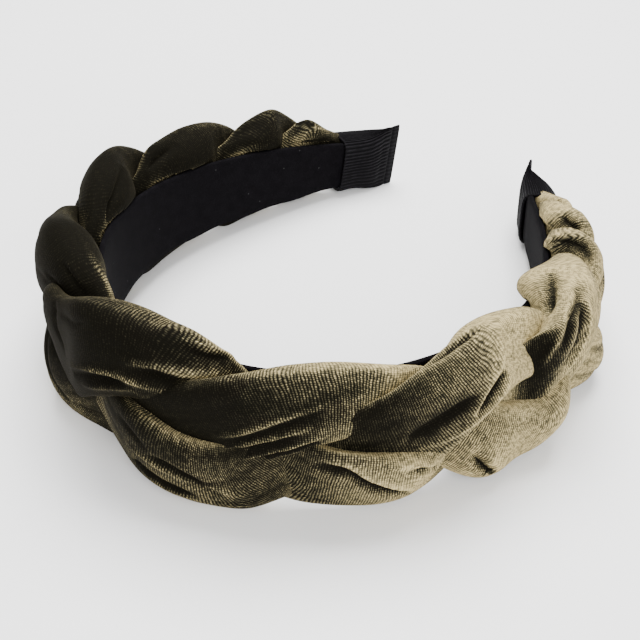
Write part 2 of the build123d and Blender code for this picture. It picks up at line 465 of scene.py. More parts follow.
# The ridges and creases that can be seen, lobe by lobe, from the left: strand, stops by place and angle,
# width and height
FOLDS = (
    # Left arm
    Fold(1, ((-173, 345), (-164, 318), (-157, 325)), 0.8, 0.5),
    Fold(1, ((-173, 315), (-165, 285), (-156, 314)), 0.9, -0.8),
    Fold(3, ((-116, 352), (-107, 341), (-101, 346)), 1.4, -1.8),
    Fold(1, ((-94, 334), (-85, 337), (-78, 333), (-68, 322)), 0.9, 0.9),
    Fold(1, ((-93, 326), (-84, 328), (-76, 322), (-70, 314)), 1.4, -2.3),
    Fold(2, ((-47, 85), (-42, 80), (-36, 75)), 0.9, -0.7),
    Fold(2, ((-44, 40), (-39, 40), (-34, 42)), 0.8, 0.6),
    Fold(2, ((-44, 50), (-38, 48), (-33, 49)), 0.9, -0.8),
    Fold(1, ((-48, 30), (-42, 66), (-36, 112)), 1.0, -0.9),
    # Left lobe of the front
    Fold(3, ((-33, 24), (-33, 60), (-30, 98)), 1.0, -0.8),
    Fold(3, ((-30, 50), (-24, 55), (-19, 50)), 1.0, -0.7),
    Fold(3, ((-27, 104), (-18, 105), (-13, 108), (-7, 111), (-1, 99)), 0.9, 1.5),
    Fold(3, ((-24, 113), (-15, 117), (-9, 121)), 1.4, -1.8),
    Fold(3, ((-21, 128), (-14, 130), (-7, 126)), 0.9, 1.0),
    Fold(3, ((-11, 90), (-6, 80), (0, 66), (5, 53), (10, 34)), 1.0, 1.3),
    Fold(3, ((-8, 96), (-3, 83), (2, 72), (6, 62)), 1.1, -1.5),
    Fold(3, ((-2, 30), (4, 21), (8, 2), (10, 345)), 0.9, 0.9),
    Fold(3, ((0, 38), (5, 29), (9, 12)), 1.0, -1.0),
    # Lower lobe under it
    Fold(2, ((-12, 72), (-6, 72), (0, 75), (5, 84), (10, 98), (14, 112)), 0.9, 0.9),
    Fold(2, ((-12, 40), (-7, 50), (-4, 60)), 0.9, -0.6),
    Fold(2, ((-10, 97), (-8, 99), (-1, 108), (5, 114)), 1.6, -1.6),
    Fold(2, ((-9, 107), (-2, 116), (5, 122)), 1.0, 0.8),
    Fold(2, ((-4, 64), (-1, 67), (3, 75), (6, 86), (10, 104)), 1.2, -1.5),
    # Middle lobe
    Fold(1, ((8, 92), (13, 90), (19, 85), (24, 81), (31, 75)), 0.8, 1.1),
    Fold(1, ((10, 100), (15, 97), (20, 94), (26, 90), (31, 84)), 0.9, -0.9),
    Fold(1, ((10, 110), (14, 106), (18, 105), (22, 107), (28, 104)), 0.8, 1.3),
    Fold(1, ((10, 117), (15, 114), (20, 115), (26, 113)), 1.3, -1.6),
    Fold(1, ((10, 124), (13, 126), (18, 129), (24, 130), (31, 126)), 0.8, 1.3),
    Fold(1, ((12, 134), (18, 138), (24, 140), (30, 136)), 1.3, -1.5),
    Fold(1, ((18, 84), (25, 79), (30, 69), (37, 60), (43, 45)), 2.2, -0.6),
    # Lower lobe with the tongue
    Fold(3, ((28, 52), (33, 54), (37, 76), (42, 102), (48, 132)), 1.4, -1.8),
    Fold(3, ((29, 40), (33, 42), (38, 64), (43, 90), (49, 122)), 0.9, 1.1),
    Fold(3, ((40, 44), (45, 52), (50, 84)), 1.0, 1.2),
    Fold(3, ((43, 54), (47, 66), (52, 98)), 1.2, -1.6),
    # Right lobe of the front
    Fold(2, ((45, 80), (48, 80), (52, 80), (57, 85), (60, 90)), 1.7, -1.8),
    Fold(2, ((46, 96), (55, 114), (63, 126), (69, 120), (72, 105)), 1.0, 0.9),
    Fold(2, ((50, 326), (56, 336), (61, 346), (68, 358)), 0.9, 0.8),
    Fold(2, ((50, 336), (56, 345), (61, 354), (66, 362)), 0.9, -1.1),
    Fold(2, ((58, 112), (60, 103), (62, 92), (66, 84), (71, 80)), 1.1, 1.0),
    Fold(2, ((60, 118), (62, 108), (66, 101), (69, 97)), 1.3, -1.5),
    # Lower lobe under it
    Fold(1, ((61, 103), (63, 114), (65, 124), (66, 132)), 1.3, -2.2),
    Fold(1, ((64, 100), (67, 112), (69, 122)), 1.2, 0.8),
    # Right arm
    Fold(3, ((104, 342), (98, 335), (92, 318), (88, 310)), 2.0, -2.0),
    Fold(3, ((104, 7), (96, 355), (88, 355), (84, 380), (81, 410), (80, 428)), 0.9, 1.3),
    Fold(3, ((100, 16), (94, 8), (88, 12), (85, 32), (83, 56)), 1.9, -1.5),
    Fold(3, ((96, 29), (94, 50), (93, 80), (90, 100), (86, 108)), 0.9, 1.3),
    Fold(3, ((94, 24), (91, 44), (89, 72), (86, 92)), 1.7, -1.4),
    Fold(1, ((116, 345), (122, 330), (128, 318), (131, 298)), 1.6, -1.0),
    Fold(1, ((122, 80), (126, 47), (134, 20)), 1.2, -1.0),
    Fold(2, ((138, 335), (142, 318), (146, 328)), 1.2, -1.2))


def on_strand(marks: tuple, strand: int) -> list:
    """The swells, spots of painted light and shade, or folds of one strand, where the first strand is 0 and
    is written 1.
    """
    return [mark for mark in marks if mark.strand == strand + 1]


@dataclass
class Plait:
    """Three padded strands plaited along the outer side of the band."""

    line: BandLine
    # What the envelope's shares count in, the gap to the band and the length inside the sleeves
    thickness: float = 18.5
    overhang: float = 12.0
    gap: float = 0.4
    tuck: float = 7.0
    # The grid, how much its columns crowd on the outer side, and how square the section is
    rows: int = 760
    around: int = 130
    crowding: float = 0.35
    squareness: float = 2.35
    # The pile's lean along the strand and upwards, from which the velvet's painted sheen and shade are
    # worked out
    lean_along: float = 1.0
    lean_up: float = 0.6
    # Painted highlight on ridges and painted shade in creases: how much lighter the tone is for each
    # millimetre of a ridge, or darker in a crease
    fold_shading: float = 0.36
    # Place as a share of the reach, overhang above, overhang below, depth, as shares of their sizes
    envelope: tuple = (
        (-1.040, 0.00, 0.00, 0.20), (-1.000, 0.20, 0.03, 0.36), (-0.950, 0.66, 0.25, 0.56),
        (-0.880, 0.74, 0.30, 0.66), (-0.770, 0.72, 0.38, 0.73), (-0.663, 0.70, 0.46, 0.84),
        (-0.510, 0.80, 0.62, 0.86), (-0.317, 0.75, 0.75, 0.86), (-0.144, 0.96, 0.79, 0.92),
        (-0.029, 0.96, 0.79, 0.86), (0.058, 0.62, 0.75, 0.78), (0.173, 0.54, 0.62, 0.74),
        (0.277, 0.50, 0.54, 0.74), (0.375, 0.86, 0.50, 0.80), (0.507, 0.80, 0.50, 0.96),
        (0.663, 0.66, 0.46, 0.90), (0.807, 0.50, 0.38, 0.70), (0.920, 0.38, 0.25, 0.56),
        (1.000, 0.06, 0.03, 0.36), (1.040, 0.00, 0.00, 0.20))
    # Shares of the reach where one upper lobe meets the next
    lobe_ends: tuple = (-1.193, -1.061, -0.928, -0.795, -0.605, -0.415, -0.207, 0.029,
                        0.265, 0.484, 0.692, 0.795, 0.939, 1.095)
    # Phase, centre, half-width, height, outer and inner half-depth, tilt
    turn: tuple = (
        (0, -0.04, 0.76, 0.32, 0.26, 0.24, 2),
        (30, -0.06, 0.64, 0.44, 0.26, 0.26, 12),
        (60, 0.06, 0.74, 0.64, 0.27, 0.30, 10),
        (90, 0.28, 0.68, 0.72, 0.29, 0.45, 2),
        (120, 0.50, 0.54, 0.64, 0.33, 0.72, -8),
        (150, 0.58, 0.44, 0.46, 0.36, 0.62, -16),
        (180, 0.46, 0.46, 0.34, 0.30, 0.40, -16),
        (210, 0.06, 0.64, 0.26, 0.24, 0.26, -8),
        (240, -0.34, 0.60, 0.42, 0.30, 0.40, 6),
        (270, -0.54, 0.48, 0.56, 0.38, 0.60, 10),
        (300, -0.60, 0.44, 0.54, 0.40, 0.56, 6),
        (330, -0.48, 0.54, 0.38, 0.34, 0.34, 6))
    lobe_end_phase: float = 68.0
    middle_lobe: int = 7
    # Stretch of the front that has its own folds, so that its common pleats are faint
    bare: tuple = (-52, 100)
    # Height of the slow dips, and how fast they follow one another along the band
    dip: float = 0.09
    dip_rate: float = 0.055
    # Least depths over the lining's line and over the band, and how far past its edges the band counts
    clear_of_head: float = 0.15
    clear_of_band: float = 0.2
    edge_reach: float = 0.4

    def phase(self, distance: Array, strand: int) -> Array:
        """The plait's phase of one strand, in degrees."""
        knots = np.array(self.lobe_ends) * self.line.reach
        phases = self.lobe_end_phase + 120.0 * (np.arange(len(knots)) - self.middle_lobe)
        return flowing(knots, phases, distance) - 120.0 * strand

    def sections(self, strand: int) -> tuple[Array, Array, dict[str, Array]]:
        """Work out one strand's surface.

        Args:
            strand: Which of the three strands, from 0.

        Returns:
            The points and the cloth's own coordinates, in millimetres, and the marks: the pile's lean and
            the painted light and shade.
        """
        end = self.line.reach + self.tuck
        distance = np.linspace(-end, end, self.rows)
        even = np.linspace(-0.5 * math.pi, 1.5 * math.pi, self.around + 1)
        angle = even + self.crowding * np.cos(even)
        degrees = np.degrees(angle)
        station = self.line.at(distance)
        points = self._form(distance, angle[None, :], station, strand)
        for swell in on_strand(SWELLS, strand):
            points = swell.push(points, distance, degrees, station)
        points = self._settle(points, station)
        chart = self._chart(points)
        folded = self._unevenness(distance, degrees, strand)
        painted_light_shade = np.zeros(points.shape[:2])
        for fold in on_strand(FOLDS, strand) + self._pleats(strand):
            lift = fold.lift(points, distance, degrees)
            folded = folded + lift
            # painted highlight on the ridges, painted shade in the creases
            painted_light_shade = painted_light_shade + lift * self.fold_shading
        points = self._settle(points + self._normals(points) * folded[..., None], station)
        # spots of painted light and painted shade add to the tone
        for brush in on_strand(PAINTED_LIGHT_SPOTS, strand):
            painted_light_shade = painted_light_shade + brush.weight(distance, degrees) * brush.tone
        return points, chart, {"pile": self._pile(points), "brush": painted_light_shade}

    def _form(self, distance: Array, angle: Array, station: Station, strand: int) -> Array:
        """Shape the bare strand by the plait's phase at each place.

        Args:
            distance: Distances along the band.
            angle: Angles round the section, as one row.
            station: The band at those distances.
            strand: Which of the three strands, from 0.

        Returns:
            Points, one row for each distance.
        """
        share = distance / self.line.reach
        above, below, deep = (read(self.envelope, index, share) for index in (1, 2, 3))
        above, below = above * self.overhang, below * self.overhang
        half = ((station.width + above + below) / 2)[:, None]
        middle = (station.foot + (station.width + above - below) / 2)[:, None]
        deep = (deep * self.thickness)[:, None]
        phase = self.phase(distance, strand)
        centre, wide, high, outer, inner, tilt = (turning(30.0, column(self.turn, index), phase)[:, None]
                                                  for index in range(1, 7))
        tilt = np.radians(tilt)
        across, out = np.cos(angle), np.sin(angle)
        fullness = np.abs(across) ** self.squareness + np.abs(out) ** self.squareness
        fullness = fullness ** (-1 / self.squareness)
        across, out = across * fullness, out * fullness
        wide_mm = across * wide * half
        deep_mm = out * np.where(out > 0, outer, inner) * deep
        side = centre * half + wide_mm * np.cos(tilt) - deep_mm * np.sin(tilt)
        lift = self.line.thickness + self.gap + high * deep
        return station.place(middle + side, lift + wide_mm * np.sin(tilt) + deep_mm * np.cos(tilt))

    def _pile(self, points: Array) -> Array:
        """How the pile leans at each point: along the strand towards the right tip, and a little up; the
        painted sheen and shade are worked out from it.
        """
        run = np.gradient(points[:, :-1].mean(axis=1), axis=0)
        run /= np.linalg.norm(run, axis=1)[:, None]
        lean = run * self.lean_along + np.array((0.0, 0.0, self.lean_up))
        return np.broadcast_to(lean[:, None, :], points.shape)

    def _place_of(self, phase: float, strand: int) -> float:
        """Where a strand comes to a phase, counted without wrapping."""
        places = np.linspace(-1.04, 1.04, 2000) * self.line.reach
        return float(np.interp(phase, self.phase(places, strand), places))

    def _pleats(self, strand: int) -> list[Fold]:
        """Small pleats at both ends of each lobe, where the strand dives under its neighbours.

        Args:
            strand: Which of the three strands, from 0.

        Returns:
            The pleats, in a random but repeatable spread.
        """
        rng = np.random.default_rng(40 + strand)
        first, last = (self.phase(np.array([end * self.line.reach]), strand)[0] for end in (-1, 1))
        pleats = []
        for half_turn in range(math.floor(first / 180), math.ceil(last / 180)):
            for start, finish in ((40, 110), (190, 120)):
                for angle in (50, 85, 125):
                    stray = rng.uniform(-14, 14, 3)
                    stops = (start, (start + finish) / 2, finish)
                    phases = (half_turn * 180 + stop + stray[0] for stop in stops)
                    route = tuple((self._place_of(phase, strand), angle + turn)
                                  for phase, turn in zip(phases, stray.cumsum()))
                    seen = self.bare[0] < route[1][0] < self.bare[1]
                    height = -rng.uniform(0.5, 1.1) * (0.3 if seen else 1.0)
                    width = rng.uniform(0.9, 1.6)
                    if abs(route[0][0] - route[2][0]) > 2:
                        pleats.append(Fold(strand + 1, tuple(sorted(route)), width, height))
        return pleats

    def _unevenness(self, distance: Array, degrees: Array, strand: int) -> Array:
        """Slow dips and rises of the padding.

        Args:
            distance: Distances along the band.
            degrees: Angles round the section.
            strand: Which of the three strands, from 0.

        Returns:
            Heights in millimetres.
        """
        rng = np.random.default_rng(70 + strand)
        dips = np.zeros((len(distance), len(degrees)))
        for wave in range(1, 6):
            shift = rng.uniform(0, 2 * math.pi, 2)
            along = np.sin(distance[:, None] * self.dip_rate * wave + shift[0])
            dips += along * np.cos(np.radians(degrees)[None, :] * (wave % 3 + 1) + shift[1])
        return dips * self.dip

    def _settle(self, points: Array, station: Station) -> Array:
        """Keep the cloth off the band, and on the table or above it.

        Args:
            points: The strand's points, one row for each station.
            station: The band at those rows.

        Returns:
            The moved points.
        """
        level = points[..., :2] - station.middle[:, None, :]
        depth = np.einsum("ijk,ik->ij", level, station.outward)
        height = points[..., 2]
        top = (station.foot + station.width)[:, None]
        over_band = (height > station.foot[:, None] - self.edge_reach) & (height < top + self.edge_reach)
        wanted = np.maximum(depth, self.clear_of_head)
        cleared = np.maximum(wanted, self.line.thickness + self.clear_of_band)
        wanted = np.where(over_band, cleared, wanted)
        inner = (height > top + self.edge_reach) & (depth < self.clear_of_head)
        wanted = np.where(inner, depth, wanted)
        settled = points.copy()
        settled[..., :2] += station.outward[:, None, :] * (wanted - depth)[..., None]
        settled[..., 2] = np.maximum(height, 0.0)
        return settled

    @staticmethod
    def _normals(points: Array) -> Array:
        """Unit vectors out of the cloth."""
        ring = np.concatenate([points[:, -2:-1], points, points[:, 1:2]], axis=1)
        around = ring[:, 2:] - ring[:, :-2]
        along = np.gradient(points, axis=0)
        normal = np.cross(around, along)
        length = np.linalg.norm(normal, axis=-1, keepdims=True)
        normal /= np.maximum(length, 1e-9)
        heart = points[:, :-1].mean(axis=1, keepdims=True)
        flip = np.sign(np.einsum("ijk,ijk->ij", normal, points - heart).mean())
        return normal * flip

    @staticmethod
    def _chart(points: Array) -> Array:
        """Cloth coordinates: the way round the strand, and the way along it in rows square to its run."""
        round_step = np.linalg.norm(np.diff(points, axis=1), axis=2)
        round_way = np.concatenate([np.zeros((len(points), 1)), np.cumsum(round_step, axis=1)], axis=1)
        heart = points[:, :-1].mean(axis=1)
        run = np.gradient(heart, axis=0)
        length = np.linalg.norm(run, axis=1)
        run /= length[:, None]
        way = np.cumsum(length)
        lead = np.einsum("ijk,ik->ij", points - heart[:, None, :], run)
        return np.stack([round_way, way[:, None] + lead], axis=-1)

    def build(self, finish: Finish) -> list[bpy.types.Object]:
        """Build and dress the three strands.

        Args:
            finish: What they are made of.

        Returns:
            The pieces, each in its packed strand's place.
        """
        pieces = []
        for strand in range(3):
            points, chart, marks = self.sections(strand)
            piece = wrapped_mesh(f"velvet_strand_{strand + 1}", points[:, :-1], chart, marks)
            finish.dress(piece)
            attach(piece, "root")
            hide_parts(f"strand_{strand + 1}")
            LOG.info("%s: %d faces", piece.name, len(piece.data.polygons))
            pieces.append(piece)
        return pieces


@dataclass
class LinedBand:
    """The hard band in its black cloth, a flat bar with rounded edges."""

    line: BandLine
    tuck: float = 8.0
    rows: int = 260
    around: int = 72
    # The lower edge's wave: its height and how fast it runs along the band
    ripple: float = 0.25
    ripple_rate: float = 0.31
    # Powers that square the section across and through, and how much of the thickness the cloth fills
    square_across: float = 0.35
    square_through: float = 0.5
    filled: float = 0.96

    def build(self, finish: Finish) -> bpy.types.Object:
        """Build and dress the band.

        Args:
            finish: What it is faced with.

        Returns:
            The piece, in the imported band's place.
        """
        end = self.line.reach + self.tuck
        distance = np.linspace(-end, end, self.rows)
        angle = np.linspace(0, 2 * math.pi, self.around + 1)[None, :]
        station = self.line.at(distance)
        half = station.width[:, None] / 2
        middle = station.foot[:, None] + half
        thin = self.line.thickness / 2
        across, out = np.cos(angle), np.sin(angle)
        height = np.sign(across) * np.abs(across) ** self.square_across * half
        wave = self.ripple * np.sin(distance * self.ripple_rate)[:, None]
        height = height - wave * (across < 0) * np.abs(across)
        depth = thin + np.sign(out) * np.abs(out) ** self.square_through * thin * self.filled
        points = station.place(middle + height, np.broadcast_to(depth, height.shape))
        way = np.broadcast_to(distance[:, None], height.shape)
        piece = wrapped_mesh("lined_band_cloth", points[:, :-1], np.stack([middle + height, way], axis=-1))
        finish.dress(piece)
        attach(piece, "root")
        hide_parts("lined_band")
        LOG.info("%s: %d faces", piece.name, len(piece.data.polygons))
        return piece


@dataclass
class RibbonTip:
    """A sleeve of ribbed ribbon over one tip, open at its neck and pressed flat into a seam at its end.

    It is longer, slanted at its end and drawn outwards to the depth of its seam by what each side asks.
    """

    line: BandLine
    side: Side
    longer: float
    slant: float
    seam_depth: float
    # The ribbon's thickness, its clearance to the band inside, and its ribs
    wall: float = 0.9
    clearance: float = 0.4
    ribs: int = 54
    rib_height: float = 0.14
    around: int = 432
    rows: int = 90
    # The lining inside the neck: its rows and the share of the length it reaches
    inner_rows: int = 24
    inner_reach: float = 0.45
    # Share of the length from the neck, width, thickness, height of the foot
    shape: tuple = (
        (0.00, 18.6, 11.4, 1.6), (0.28, 18.0, 11.0, 1.4), (0.45, 18.8, 9.6, 0.8),
        (0.62, 20.4, 5.4, 0.3), (0.74, 21.2, 2.0, 0.1), (1.00, 21.6, 1.2, 0.0))
    # How square the section is
    corner: float = 5.0
    # The stitched line before the flat end: its share of the length, half its width and its depth
    stitching: tuple = (0.87, 0.018, 0.35)
    # Shares of the length over which the ribs fade towards the stitching and the neck
    ribs_end: float = 0.84
    ribs_fade: tuple = (0.05, 0.03)
    # Share of the length where the sleeve starts to lean to its seam, and how late it does so
    pinch_start: float = 0.2
    pinch_power: float = 1.5
    # Height over which the end's slant is measured, and the least half-thickness
    slant_height: float = 22.0
    thinnest: float = 0.3
    # How near to the farthest point the rim of the flat end lies
    seam_reach: float = 6.0

    def build(self, finish: Finish) -> bpy.types.Object:
        """Build and dress the sleeve.

        Args:
            finish: What it is made of.

        Returns:
            The piece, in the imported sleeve's place.
        """
        length = self.line.tip_length
        outside = np.linspace(0, 1, self.rows)
        inside = np.linspace(self.inner_reach, 0, self.inner_rows)
        share = np.concatenate([inside, outside])
        shrink = np.concatenate([np.full(len(inside), self.wall), np.zeros(len(outside))])
        width, thickness, foot = (read(self.shape, index, share) for index in (1, 2, 3))
        angle = np.linspace(0, 2 * math.pi, self.around + 1)[None, :]
        across, out = np.cos(angle), np.sin(angle)
        fullness = (np.abs(across) ** self.corner + np.abs(out) ** self.corner) ** (-1 / self.corner)
        rib = np.cos(angle * self.ribs) * self.rib_height
        worn = np.clip((self.ribs_end - share) / self.ribs_fade[0], 0, 1)
        worn = worn * np.clip(share / self.ribs_fade[1], 0, 1)
        rib = rib * np.where(shrink > 0, 0.0, worn)[:, None]
        half_width = (width / 2 - shrink)[:, None] + rib
        spot, reach, groove = self.stitching
        pressed = groove * np.exp(-(((share - spot) / reach) ** 2))
        half_depth = np.maximum((thickness / 2 - shrink - pressed)[:, None], self.thinnest) + rib
        height = (foot + width / 2)[:, None] + across * fullness * half_width
        flush = -self.clearance - self.wall
        heart = flush + thickness / 2
        pull = np.clip((share - self.pinch_start) / (1 - self.pinch_start), 0, 1) ** self.pinch_power
        heart = heart + (self.seam_depth - heart) * pull
        depth = heart[:, None] + out * fullness * half_depth
        height = np.maximum(height, 0.0)
        lengthen = self.slant * height / self.slant_height + self.longer * share[:, None]
        place = (self.line.reach + share * length)[:, None] + lengthen
        points = self._points(place, height, depth)
        way = np.broadcast_to(share[:, None] * length, depth.shape)
        chart = np.stack([np.broadcast_to(angle / (2 * math.pi) * self.ribs, depth.shape), way], axis=-1)
        piece = wrapped_mesh(f"ribbon_sleeve_{self.side.label}", points[:, :-1], chart, closed_ends=False)
        self._sew(piece)
        finish.dress(piece)
        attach(piece, "root")
        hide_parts(f"ribbon_tip_{self.side.label}")
        LOG.info("%s: %d faces", piece.name, len(piece.data.polygons))
        return piece

    def _points(self, place: Array, height: Array, depth: Array) -> Array:
        """Put a grid of places along the band, heights and depths in space.

        Args:
            place: Distances from the front's middle towards this tip.
            height: Heights above the table.
            depth: Depths outside the lining.

        Returns:
            Points, straight on past the end of the lining's line.
        """
        station = self.line.at(place.ravel() * self.side.value)
        plan = station.middle + station.outward * depth.ravel()[:, None]
        beyond = np.maximum(place.ravel() - self.line.half_length, 0.0)
        plan = plan + station.ahead()[:, :2] * (beyond * self.side.value)[:, None]
        return np.concatenate([plan, height.ravel()[:, None]], axis=1).reshape(*place.shape, 3)

    def _sew(self, piece: bpy.types.Object) -> None:
        """Close the flat end, whose rim lies near the farthest point."""
        shell = bmesh.new()
        shell.from_mesh(piece.data)
        rim = [edge for edge in shell.edges if edge.is_boundary]
        far = max(rim, key=lambda edge: edge.verts[0].co.y).verts[0].co.y
        seam = [edge for edge in rim if edge.verts[0].co.y > far - self.seam_reach * MM]
        bmesh.ops.holes_fill(shell, edges=seam, sides=0)
        bmesh.ops.recalc_face_normals(shell, faces=shell.faces)
        shell.to_mesh(piece.data)
        shell.free()


class NodeTree:
    """A short way to write shader nodes."""

    def __init__(self, tree: bpy.types.NodeTree) -> None:
        """Keep the tree that the nodes go into."""
        self.tree = tree

    def add(self, kind: str, settings: dict | None = None, **sockets: object) -> Node:
        """Add a node.

        Args:
            kind: The node's type, without its ShaderNode prefix.
            settings: Properties of the node.
            sockets: Values or output sockets for its inputs, by name with underscores for spaces.

        Returns:
            The node.
        """
        node = self.tree.nodes.new(kind if kind.startswith("NodeGroup") else f"ShaderNode{kind}")
        for name, value in (settings or {}).items():
            setattr(node, name, value)
        for name, value in sockets.items():
            self.feed(node.inputs[name.replace("_", " ")], value)
        return node

    def feed(self, socket: Socket, value: object) -> None:
        """Link an output to a socket, or set the socket's own value."""
        if isinstance(value, Socket):
            self.tree.links.new(value, socket)
        else:
            socket.default_value = value

    def math(self, operation: str, *values: object) -> Socket:
        """A sum, product or wave of numbers or sockets.

        Args:
            operation: The Math node's operation.
            values: Its inputs in order, as numbers or output sockets.

        Returns:
            The node's output.
        """
        return self._operate("Math", operation, values).outputs[0]

    def vectors(self, operation: str, *values: object) -> Node:
        """A sum, product or unit vector of vectors or sockets.

        Args:
            operation: The Vector Math node's operation.
            values: Its inputs in order, as vectors or output sockets.

        Returns:
            The node, because its output may be a vector or a value.
        """
        return self._operate("VectorMath", operation, values)

    def _operate(self, kind: str, operation: str, values: tuple) -> Node:
        """Add a node that works on its inputs in their order."""
        node = self.add(kind, {"operation": operation})
        for socket, value in zip(node.inputs, values):
            self.feed(socket, value)
        return node

    def ramp(self, value: object, low: float, high: float, out_low: float = 0.0,
             out_high: float = 1.0) -> Socket:
        """Spread a range smoothly over another.

        Args:
            value: The number or socket to spread.
            low: Where the range starts.
            high: Where the range ends.
            out_low: What the start becomes.
            out_high: What the end becomes.

        Returns:
            The node's output.
        """
        node = self.add("MapRange", {"interpolation_type": "SMOOTHSTEP"}, Value=value)
        names = ("From Min", "From Max", "To Min", "To Max")
        for name, number in zip(names, (low, high, out_low, out_high)):
            node.inputs[name].default_value = number
        return node.outputs["Result"]

    def blend(self, share: object, first: object, second: object) -> Socket:
        """Mix two colours.

        Args:
            share: How much of the second colour there is.
            first: Red, green and blue, or a colour's output socket.
            second: The same for the other colour.

        Returns:
            The node's colour output.
        """
        node = self.add("Mix", {"data_type": "RGBA"})
        colours = [(*value, 1) if isinstance(value, tuple) else value for value in (first, second)]
        for index, value in zip((0, 6, 7), (share, *colours)):
            self.feed(node.inputs[index], value)
        return node.outputs[2]

    def noise(self, chart: Socket, scale: float, detail: float) -> Socket:
        """Soft noise over the cloth, at so many waves to the millimetre."""
        node = self.add("TexNoise", {"noise_dimensions": "2D"}, Vector=chart, Scale=scale, Detail=detail)
        return node.outputs["Fac"]

    def waves(self, value: Socket) -> Socket:
        """Even waves from 0 to 1, one for each whole number."""
        wave = self.math("COSINE", self.math("MULTIPLY", value, 2 * math.pi))
        return self.math("MULTIPLY_ADD", wave, 0.5, 0.5)


def knit_group() -> bpy.types.NodeTree:
    """Rows of knit across the cloth and finer wales along it, for coordinates in millimetres.

    Returns:
        The node group, made once. Row is how lit a stitch is, Relief its height, Patch slow wear and
        Fleck a fine grain, each about 0 to 1.
    """
    found = bpy.data.node_groups.get("knit_rows")
    if found:
        return found
    group = bpy.data.node_groups.new("knit_rows", "ShaderNodeTree")
    for name, kind in (("Chart", "NodeSocketVector"), ("Row Pitch", "NodeSocketFloat"),
                       ("Wale Pitch", "NodeSocketFloat")):
        group.interface.new_socket(name, in_out="INPUT", socket_type=kind)
    for name in ("Row", "Relief", "Patch", "Fleck"):
        group.interface.new_socket(name, in_out="OUTPUT", socket_type="NodeSocketFloat")
    tree = NodeTree(group)
    source = tree.add("NodeGroupInput")
    chart = source.outputs["Chart"]
    drift, jitter = tree.noise(chart, 0.12, 2.0), tree.noise(chart, 0.9, 3.0)
    patch, grain = tree.noise(chart, 0.30, 3.0), tree.noise(chart, 2.4, 2.0)
    parts = tree.add("SeparateXYZ", Vector=chart)
    shift = tree.math("MULTIPLY_ADD", drift, 0.9, tree.math("MULTIPLY", jitter, 0.4))
    along = tree.math("DIVIDE", tree.math("ADD", parts.outputs["Y"], shift), source.outputs["Row Pitch"])
    across = tree.math("SUBTRACT", parts.outputs["X"], shift)
    across = tree.math("DIVIDE", across, source.outputs["Wale Pitch"])
    cell = tree.add("CombineXYZ", X=tree.math("ROUND", across), Y=tree.math("ROUND", along))
    stitch = tree.add("TexWhiteNoise", {"noise_dimensions": "2D"}, Vector=cell.outputs[0])
    row, wale = tree.waves(along), tree.waves(across)
    share = tree.math("MULTIPLY_ADD", wale, 0.6, 0.4)
    thread = tree.math("MULTIPLY", tree.ramp(stitch.outputs["Value"], 0, 1, 0.65, 1.25),
                       tree.ramp(grain, 0.3, 0.7, 0.75, 1.2))
    dash = tree.math("MULTIPLY", row, tree.math("MULTIPLY", share, thread))
    relief = tree.math("ADD", tree.math("MULTIPLY", row, 0.6), tree.math("MULTIPLY", wale, 0.3))
    relief = tree.math("ADD", relief, tree.math("MULTIPLY", grain, 0.5))
    out = tree.add("NodeGroupOutput")
    for name, value in (("Row", dash), ("Relief", relief), ("Patch", patch), ("Fleck", jitter)):
        tree.feed(out.inputs[name], value)
    return group


@dataclass(frozen=True)
class Finish:
    """A cloth's material, made once and shared by its pieces."""

    name: str
    roughness: float
    specular: float
    relief: float

    def dress(self, piece: bpy.types.Object) -> None:
        """Give the piece this material and no other."""
        piece.data.materials.clear()
        piece.data.materials.append(bpy.data.materials.get(self.name) or self._make())

    def _make(self) -> bpy.types.Material:
        """Make the material and let the cloth paint it.

        Returns:
            The material, with its gloss set as plain values.
        """
        material = bpy.data.materials.new(self.name)
        material.use_nodes = True
        shader = material.node_tree.nodes["Principled BSDF"]
        shader.inputs["Roughness"].default_value = self.roughness
        shader.inputs["Specular IOR Level"].default_value = self.specular
        tree = NodeTree(material.node_tree)
        chart = tree.add("UVMap", {"uv_map": "UVMap"}).outputs["UV"]
        colour = self._paint(tree, shader, chart)
        tree.feed(shader.inputs["Base Color"], colour)
        return material

    def _paint(self, tree: NodeTree, shader: Node, chart: Socket) -> Socket:
        """Each cloth writes its own colour and relief.

        Args:
            tree: The material's nodes.
            shader: Its Principled BSDF.
            chart: Coordinates over the cloth, in millimetres or ribs.

        Returns:
            The colour.
        """
        raise NotImplementedError

    def _bump(self, tree: NodeTree, shader: Node, height: Socket) -> Socket:
        """Raise the surface by a relief and give its normals back."""
        bump = tree.add("Bump", Height=height, Strength=1.0, Distance=self.relief)
        tree.feed(shader.inputs["Normal"], bump.outputs["Normal"])
        return bump.outputs["Normal"]


